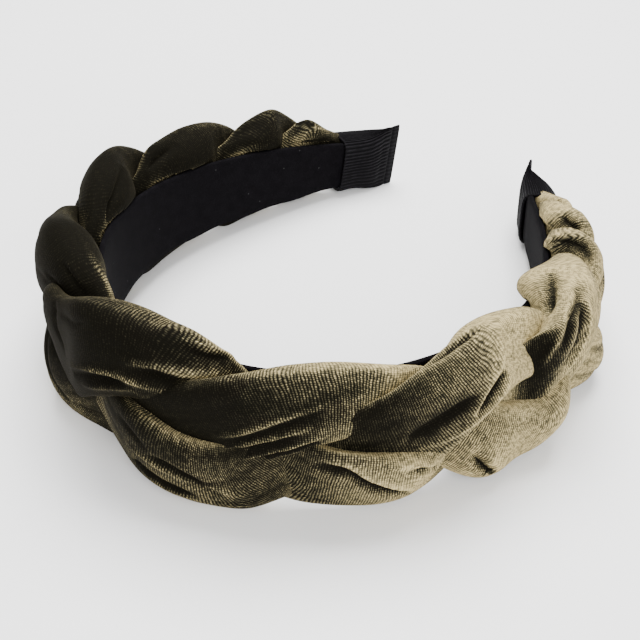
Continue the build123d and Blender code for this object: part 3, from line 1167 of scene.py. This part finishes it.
@dataclass(frozen=True)
class Velvet(Finish):
    """Stretch velvet with painted sheen and shade: dark where its pile leans to one fixed side, khaki where
    it turns away.
    """

    name: str = "olive_velvet"
    # deep is the colour of the painted shade, middle and edge are the colours of the painted sheen
    deep: tuple = (0.0032, 0.0028, 0.0016)
    middle: tuple = (0.44, 0.39, 0.22)
    edge: tuple = (0.50, 0.40, 0.195)
    # Facings where the cloth starts to light up and is fully lit, and its last tone
    wakes: float = -0.05
    full: float = 1.12
    brightest: float = 0.88
    # How much the rows change the tone, the shares of it in the painted shade and in the painted sheen, and
    # the rows' mean
    contrast: float = 0.66
    in_dark: float = 0.16
    in_pale: float = 0.62
    row_mean: float = 0.36
    # How much slow wear and fine flecks change the tone, and the share of the flecks in the painted shade
    wear: float = 0.04
    speckle: float = 0.13
    flecks_in_dark: float = 0.1
    # The fixed side that the painted sheen and shade are set by, dark where the pile leans to it, and the
    # share of the tone that is painted sheen and turns with the eye
    painted_sheen_side: tuple = (0.373, -0.710, 0.597)
    sheen: float = 0.35
    row_pitch: float = 0.64
    wale_pitch: float = 0.56
    relief: float = 0.00008
    roughness: float = 0.85
    specular: float = 0.03
    # The shader's own sheen, a faint fuzz: its weight, roughness and tint
    fuzz: float = 0.02
    fuzz_roughness: float = 0.35
    fuzz_tint: tuple = (0.62, 0.52, 0.30, 1)

    def _paint(self, tree: NodeTree, shader: Node, chart: Socket) -> Socket:
        """Tone from the painted sheen and shade of the pile's lean, the spots of painted light and shade,
        the rows and the flecks; colour from the tone.
        """
        knit = tree.add("Group", {"node_tree": knit_group()}, Chart=chart,
                        Row_Pitch=self.row_pitch, Wale_Pitch=self.wale_pitch)
        normal = self._bump(tree, shader, knit.outputs["Relief"])
        pile = tree.add("Attribute", {"attribute_name": "pile"})
        leaning = tree.vectors("ADD", pile.outputs["Vector"], normal).outputs["Vector"]
        nap = tree.vectors("NORMALIZE", leaning).outputs["Vector"]
        # painted sheen and shade: light where the pile turns away from the fixed side, dark where it leans
        # to it
        along = tree.vectors("DOT_PRODUCT", nap, self.painted_sheen_side).outputs["Value"]
        painted_sheen_shade = tree.math("SUBTRACT", 1.0, tree.math("ABSOLUTE", along))
        # painted sheen in the colour, turning with the eye
        shine = tree.add("LayerWeight", Blend=0.5, Normal=nap).outputs["Facing"]
        facing = tree.math("ADD", tree.math("MULTIPLY", painted_sheen_shade, 1 - self.sheen),
                           tree.math("MULTIPLY", shine, self.sheen))
        worn = tree.ramp(knit.outputs["Patch"], 0.3, 0.7, -self.wear, self.wear)
        # painted light and shade from the spots, the ridges and the creases
        brush = tree.add("Attribute", {"attribute_name": "brush"}).outputs["Fac"]
        turned = tree.math("ADD", facing, tree.math("ADD", brush, worn))
        tone = tree.ramp(turned, self.wakes, self.full, 0.0, self.brightest)
        strength = tree.math("MULTIPLY", tree.ramp(tone, 0.00, 0.34, self.in_dark, self.contrast),
                             tree.ramp(tone, 0.40, 0.80, 1.0, self.in_pale))
        pattern = tree.math("SUBTRACT", knit.outputs["Row"], self.row_mean)
        fleck = tree.ramp(knit.outputs["Fleck"], 0.35, 0.65, -self.speckle, self.speckle)
        fleck = tree.math("MULTIPLY", fleck, tree.ramp(tone, 0.25, 0.65, self.flecks_in_dark, 1.0))
        tone = tree.math("ADD", tree.math("MULTIPLY_ADD", pattern, strength, tone), fleck)
        tone = tree.math("MAXIMUM", tone, 0.0)
        shader.inputs["Sheen Weight"].default_value = self.fuzz
        shader.inputs["Sheen Roughness"].default_value = self.fuzz_roughness
        shader.inputs["Sheen Tint"].default_value = self.fuzz_tint
        # the tone runs from the painted shade's colour to the painted sheen's colours
        lit = tree.blend(tree.ramp(tone, 0.2, 0.8), self.middle, self.edge)
        return tree.blend(tree.math("POWER", tone, 2.0), self.deep, lit)


@dataclass(frozen=True)
class BlackCloth(Finish):
    """Close black knit of the lining, with a fine even grain and a few pale specks of lint."""

    name: str = "black_lining"
    valley: tuple = (0.0012, 0.0010, 0.0014)
    crest: tuple = (0.0060, 0.0052, 0.0066)
    lint: tuple = (0.03, 0.03, 0.03)
    pitch: float = 0.42
    # Cells of lint to the millimetre, and the share of them that stays bare
    specks: float = 0.22
    bare: float = 0.90
    relief: float = 0.00006
    roughness: float = 0.9
    specular: float = 0.04

    def _paint(self, tree: NodeTree, shader: Node, chart: Socket) -> Socket:
        """Colour from the rows of the knit, with lint in a few cells."""
        knit = tree.add("Group", {"node_tree": knit_group()}, Chart=chart,
                        Row_Pitch=self.pitch, Wale_Pitch=self.pitch)
        self._bump(tree, shader, knit.outputs["Relief"])
        patch = tree.ramp(knit.outputs["Patch"], 0.3, 0.7, 0.6, 1.2)
        grain = tree.math("MULTIPLY", knit.outputs["Row"], patch)
        speck = tree.add("TexVoronoi", {"voronoi_dimensions": "2D"}, Vector=chart, Scale=self.specks)
        spot = tree.ramp(speck.outputs["Distance"], 0.035, 0.06, 1.0, 0.0)
        chance = tree.add("SeparateXYZ", Vector=speck.outputs["Color"]).outputs["X"]
        spot = tree.math("MULTIPLY", spot, tree.math("GREATER_THAN", chance, self.bare))
        return tree.blend(spot, tree.blend(grain, self.valley, self.crest), self.lint)


@dataclass(frozen=True)
class Ribbon(Finish):
    """Black ribbon with woven ribs, with a painted highlight that makes their crests paler than the valleys.
    """

    name: str = "black_ribbon"
    valley: tuple = (0.0010, 0.0008, 0.0012)
    # crest is the colour of the painted highlight on the ribs
    crest: tuple = (0.0085, 0.0075, 0.0092)
    weave: float = 0.35
    relief: float = 0.00005
    roughness: float = 0.6
    specular: float = 0.06

    def _paint(self, tree: NodeTree, shader: Node, chart: Socket) -> Socket:
        """Colour from the ribs, with a painted highlight on their crests that is stronger in random patches;
        relief from the ribs and the weft.
        """
        parts = tree.add("SeparateXYZ", Vector=chart)
        rib = tree.waves(parts.outputs["X"])
        thread = tree.math("COSINE", tree.math("MULTIPLY", parts.outputs["Y"], 2 * math.pi / self.weave))
        self._bump(tree, shader, tree.math("MULTIPLY_ADD", thread, 0.25, rib))
        # painted highlight on the rib crests, stronger in random patches
        crest_highlight_patches = tree.ramp(tree.noise(chart, 0.6, 3.0), 0.3, 0.7, 0.35, 1.1)
        crest = tree.math("MULTIPLY", tree.math("POWER", rib, 2.0), crest_highlight_patches)
        return tree.blend(crest, self.valley, self.crest)


@dataclass
class Studio:
    """The floor, the lights and the camera."""

    line: BandLine
    # The camera's angles, its distance from the heart of the ring and how far it stands aside
    turn: float = 27.725
    pitch: float = 36.633
    roll: float = 0.367
    distance: float = 420.0
    aside: tuple = (-8.027, -2.181)
    # The heart of the ring, measured back from the inside of the front
    heart: float = 78.05
    lens: float = 78.52
    sensor: float = 36.0
    nearest: float = 0.01
    # The floor in metres, just under the table's height, and the light all round
    floor_size: float = 6.0
    floor_height: float = -0.0002
    floor_colour: tuple = (0.96, 0.96, 0.96, 1)
    floor_roughness: float = 0.9
    daylight: float = 0.85
    # Lamps: name, place and size in metres, power
    lamps: tuple = (("key", (0.55, -0.60, 0.50), 0.5, 10), ("top", (-0.10, 0.30, 0.90), 0.7, 24))

    def camera(self) -> bpy.types.Object:
        """Set the camera at the photograph's angle.

        Returns:
            The camera, made the scene's own.
        """
        turn, pitch, roll = (math.radians(value) for value in (self.turn, self.pitch, self.roll))
        level = math.cos(pitch)
        back = Vector((math.sin(turn) * level, -math.cos(turn) * level, math.sin(pitch)))
        right = Vector((math.cos(turn), math.sin(turn), 0))
        up = back.cross(right)
        rolled_right = right * math.cos(roll) + up * math.sin(roll)
        rolled_up = up * math.cos(roll) - right * math.sin(roll)
        low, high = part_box("lined_band")
        spot = Vector(((low.x + high.x) / 2 / MM, low.y / MM + self.line.thickness + self.heart, 0))
        eye = spot + back * self.distance + rolled_right * self.aside[0] + rolled_up * self.aside[1]
        data = bpy.data.cameras.new("camera")
        data.lens = self.lens
        data.sensor_width = self.sensor
        data.clip_start = self.nearest
        camera = bpy.data.objects.new("camera", data)
        turn_matrix = Matrix((rolled_right, rolled_up, back)).transposed().to_4x4()
        camera.matrix_world = Matrix.Translation(eye * MM) @ turn_matrix
        bpy.context.scene.collection.objects.link(camera)
        bpy.context.scene.camera = camera
        return camera

    def light(self, name: str, where: tuple, size: float, power: float) -> None:
        """Hang a square lamp that looks at the headband.

        Args:
            name: The lamp's name.
            where: Its place in metres.
            size: Its side in metres.
            power: Its power in watts.
        """
        data = bpy.data.lights.new(name, "AREA")
        data.size = size
        data.energy = power
        lamp = bpy.data.objects.new(name, data)
        lamp.location = where
        lamp.rotation_euler = (-Vector(where)).to_track_quat("-Z", "Y").to_euler()
        bpy.context.scene.collection.objects.link(lamp)

    def build(self) -> None:
        """Lay the floor and hang the lights."""
        bpy.ops.mesh.primitive_plane_add(size=self.floor_size, location=(0, 0, self.floor_height))
        floor = bpy.context.object
        floor.name = "floor"
        material = bpy.data.materials.new("pale_floor")
        material.use_nodes = True
        shader = material.node_tree.nodes["Principled BSDF"]
        shader.inputs["Base Color"].default_value = self.floor_colour
        shader.inputs["Roughness"].default_value = self.floor_roughness
        floor.data.materials.append(material)
        world = bpy.data.worlds.new("studio")
        world.use_nodes = True
        background = world.node_tree.nodes["Background"]
        background.inputs["Color"].default_value = (1, 1, 1, 1)
        background.inputs["Strength"].default_value = self.daylight
        bpy.context.scene.world = world
        for lamp in self.lamps:
            self.light(*lamp)


def main() -> None:
    """Build the headband piece by piece and report each."""
    logging.basicConfig(level=logging.INFO, format="%(name)s %(message)s")
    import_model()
    line = BandLine()
    Plait(line).build(Velvet())
    LinedBand(line).build(BlackCloth())
    RibbonTip(line, Side.LEFT, longer=1.5, slant=3.0, seam_depth=0.0).build(Ribbon())
    RibbonTip(line, Side.RIGHT, longer=0.0, slant=0.0, seam_depth=2.0).build(Ribbon())
    studio = Studio(line)
    studio.build()
    studio.camera()


if __name__ == "__main__":
    main()
